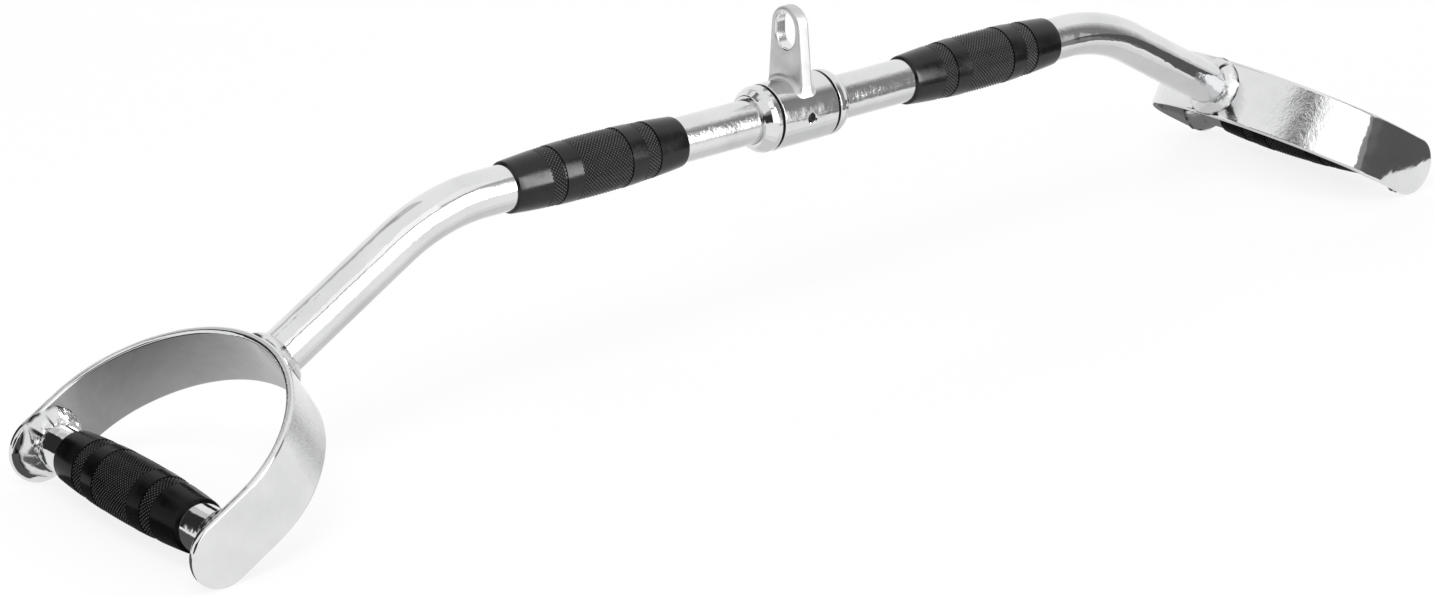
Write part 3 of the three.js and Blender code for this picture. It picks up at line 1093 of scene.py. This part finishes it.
# Soft boxes: where each stands, where it points, its size and its power
lamps = {
    "key": {"at": (-1.2, -1.0, 2.2), "to": (0, 0, 0.1), "size": (1.2, 0.8), "power": 22},
    "rim": {"at": (1.6, 1.4, 1.4), "to": (0, 0, 0.1), "size": (1.0, 0.6), "power": 8},
}


def makeLamps():
    for name, lamp in lamps.items():
        light = bpy.data.lights.new(name, "AREA")
        light.shape = "RECTANGLE"
        light.size, light.size_y = lamp["size"]
        light.energy = lamp["power"]
        holder = placeInScene(name, light)
        aim = Vector(lamp["to"]) - Vector(lamp["at"])
        turn = aim.to_track_quat("-Z", "Y").to_matrix().to_4x4()
        holder.matrix_world = Matrix.Translation(lamp["at"]) @ turn
        holder.visible_glossy = False


# Cards that only the polished metal sees. These are curved round the bar, each between two bearings and two
# heights in degrees, at a distance from the bar's middle
domeCards = {
    "softBox": {"across": (-72, -58), "up": (-12, 41), "distance": 3.0, "level": 12.0},
    "softEdge": {"across": (-58, -53), "up": (-12, 41), "distance": 3.0, "level": 1.5},
    "softSide": {"across": (-114, -72), "up": (-20, 41), "distance": 3.0, "level": 1.6},
    "topBox": {"across": (-120, -78), "up": (44.5, 66), "distance": 3.1, "level": 1.25},
    "topSide": {"across": (-78, -30), "up": (54, 70), "distance": 3.1, "level": 1.1},
    "flag": {"across": (-43, -33), "up": (-4, 43), "distance": 6.0, "level": 0.25},
    "flagSoft": {"across": (-53.5, -43), "up": (-4, 43), "distance": 6.0, "level": 0.6},
    "flagFadeA": {"across": (-33, -28), "up": (-4, 46), "distance": 6.0, "level": 0.38},
    "flagFadeB": {"across": (-28, -23), "up": (-4, 48), "distance": 6.0, "level": 0.55},
    "flagFadeC": {"across": (-23, -16), "up": (-4, 50), "distance": 6.0, "level": 0.75},
    "flagArm": {"across": (-76, -30), "up": (43, 50), "distance": 2.7, "level": 0.48},
    "flagRod": {"across": (-118, -76), "up": (41.5, 44), "distance": 2.7, "level": 0.25},
    "standHead": {"across": (-138, -117), "up": (22, 36), "distance": 3.3, "level": 0.3},
    "stand": {"across": (-178, -117), "up": (-12, 22), "distance": 3.2, "level": 0.04},
    "backTop": {"across": (124, 174), "up": (50, 60), "distance": 4.1, "level": 0.2},
    "backHaze": {"across": (82, 106), "up": (32, 62), "distance": 4.1, "level": 0.66},
    "backCore": {"across": (93, 101), "up": (40, 52), "distance": 4.0, "level": 0.4},
}

# These are flat, each with four corners, and lie or stand on the floor. A fade runs along X from one place to
# another, where the level has come to its last number
flatCards = {
    "flagNear": {
        "corners": ((0.517, -0.662, 0.003), (0.517, -0.662, 0.9), (0.643, -0.54, 0.9), (0.643, -0.54, 0.003)),
        "level": 0.27,
    },
    "floorGap": {
        "corners": ((0.444, -0.205, 0.002), (2.23, -2.26, 0.002), (3.2, -1.2, 0.002), (1.3, -0.3, 0.002)),
        "level": 0.2,
    },
    "floorGapLeft": {
        "corners": ((0.27, -0.32, 0.0025), (2.3, -2.8, 0.0025), (3.2, -2.4, 0.0025), (0.46, -0.24, 0.0025)),
        "level": 0.26,
    },
    "floorStreak": {
        "corners": ((0.33, -0.34, 0.003), (0.4, -0.95, 0.003), (0.46, -0.95, 0.003), (0.4, -0.34, 0.003)),
        "level": 0.22,
    },
    "sideGap": {
        "corners": ((0.442, -0.13, 0.003), (0.4875, -0.3, 0.13), (1.3, -0.3, 0.13), (1.3, -0.13, 0.003)),
        "level": 0.11,
    },
    "gripShadeLeft": {
        "corners": ((-0.33, -0.085, 0.002), (-0.6, -0.085, 0.002),
                    (-0.6, 0.085, 0.002), (-0.33, 0.085, 0.002)),
        "level": 0.58,
        "fade": (-0.385, -0.475, 0.1),
    },
    "gripShadeBack": {
        "corners": ((-0.33, 0.084, 0.002), (-0.455, 0.084, 0.002),
                    (-0.455, 0.15, 0.002), (-0.33, 0.15, 0.002)),
        "level": 0.58,
        "fade": (-0.385, -0.475, 0.1),
    },
    "gripShadeRight": {
        "corners": ((0.43, -0.075, 0.002), (0.56, -0.075, 0.002), (0.56, 0.14, 0.002), (0.43, 0.14, 0.002)),
        "level": 0.21,
    },
    "barShade": {
        "corners": ((-0.33, -0.06, 0.0016), (-0.33, 0.06, 0.0016),
                    (0.43, 0.06, 0.0016), (0.43, -0.1, 0.0016)),
        "level": 0.73,
    },
    "barShadeSoft": {
        "corners": ((-0.33, -0.12, 0.0012), (-0.33, 0.12, 0.0012),
                    (0.43, 0.12, 0.0012), (0.43, -0.16, 0.0012)),
        "level": 0.87,
    },
    "rimShade": {
        "corners": ((-0.4, 1.2, 0.002), (-0.4, 1.2, 0.72), (-0.64, 1.2, 0.72), (-0.64, 1.2, 0.002)),
        "level": 0.03,
    },
    "backGap": {
        "corners": ((-0.64, 1.2, 0.002), (-0.64, 1.2, 1.2), (-1.25, 0.9, 1.2), (-1.25, 0.9, 0.002)),
        "level": 0.03,
    },
}
cardSteps = 12
cardLowest = 0.001  # cards are cut off at this height over the floor


def placeOnDome(card, across, up):
    bearing = math.radians(card["across"][0] + (card["across"][1] - card["across"][0]) * across)
    height = math.radians(card["up"][0] + (card["up"][1] - card["up"][0]) * up)
    level = math.cos(height)
    way = Vector((level * math.cos(bearing), level * math.sin(bearing), math.sin(height)))
    return way * card["distance"] + Vector((0, 0, bar["height"]))


def placeBetween(card, across, up):
    first, second, third, fourth = (Vector(corner) for corner in card["corners"])
    return first.lerp(fourth, across).lerp(second.lerp(third, across), up)


def makeCard(name, card, placed):
    bm = bmesh.new()
    bmesh.ops.create_grid(bm, x_segments=cardSteps, y_segments=cardSteps, size=0.5)
    for vert in bm.verts:
        vert.co = placed(card, vert.co.x + 0.5, vert.co.y + 0.5)
    bmesh.ops.bisect_plane(bm, geom=bm.verts[:] + bm.edges[:] + bm.faces[:], clear_inner=True,
                           plane_co=(0, 0, cardLowest), plane_no=(0, 0, 1))
    sheet = toObject(bm, name)
    material, tree, shader = newMaterial(name)
    level = card["level"]
    if "fade" in card:
        start, end, last = card["fade"]
        level = addRange(tree, objectAlong(tree, "X"), start, end, level, last)
    feed(tree, tree.nodes["Material Output"].inputs["Surface"], addGlow(tree, level))
    sheet.data.materials.append(material)
    sheet.visible_camera = False
    sheet.visible_diffuse = False
    sheet.visible_shadow = False


def makeCards():
    for name, card in domeCards.items():
        makeCard(name, card, placeOnDome)
    for name, card in flatCards.items():
        makeCard(name, card, placeBetween)


# The camera stands in front on the left, a little above, and is turned a touch about its own axis
view = {
    "at": (-1.4063, -1.6212, 0.6863),  # from the middle of the bar's axis
    "yaw": math.radians(-39.712),
    "pitch": math.radians(20.646),
    "roll": math.radians(-0.685),
    "lens": 92.16,
    "sensor": 36,
    "clipEnd": 100,
}


def makeCamera():
    lens = bpy.data.cameras.new("camera")
    lens.sensor_width = view["sensor"]
    lens.sensor_fit = "HORIZONTAL"
    lens.lens = view["lens"]
    lens.clip_end = view["clipEnd"]
    camera = placeInScene("camera", lens)
    level = Matrix.Rotation(view["yaw"], 4, "Z") @ Matrix.Rotation(math.pi / 2 - view["pitch"], 4, "X")
    place = barPlace @ Matrix.Translation(view["at"]) @ level
    camera.matrix_world = place @ Matrix.Rotation(view["roll"], 4, "Z")
    bpy.context.scene.camera = camera


makeFloor()
makeWorld()
makeLamps()
makeCards()
makeCamera()
bpy.context.scene.view_settings.view_transform = "Standard"
print("floor, lights and camera made")
